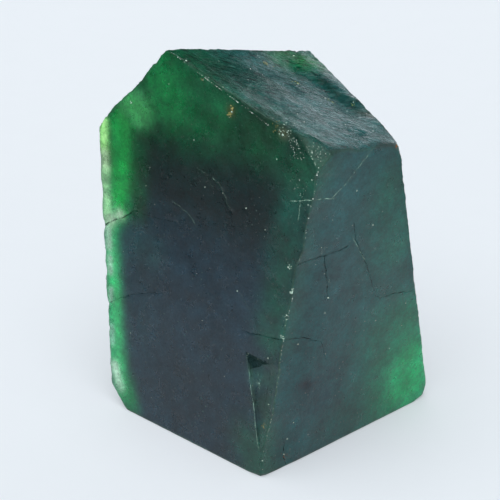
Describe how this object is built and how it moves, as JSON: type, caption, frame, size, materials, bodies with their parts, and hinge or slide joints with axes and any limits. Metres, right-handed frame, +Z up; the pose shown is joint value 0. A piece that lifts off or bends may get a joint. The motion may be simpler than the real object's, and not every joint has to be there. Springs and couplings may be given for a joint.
{
  "type": "emerald crystal",
  "caption": "Rough broken emerald with two flat sawn front faces, a rippled fractured top and a thin scalloped edge; it stands upright on its flat foot.",
  "frame": {"origin": "under the middle of the bounding box, on the plane of the flat foot", "axes": "+Z up along the height, -Y towards the upright front ridge, +X towards the sharp lower right foot"},
  "size_m": [0.0196, 0.0162, 0.0231],
  "materials": {
    "emerald_green": "frosted sawn and broken stone, deep green, see-through where thin"
  },
  "bodies": {
    "root": {"emerald_crystal": "emerald_green"}
  },
  "joints": []
}
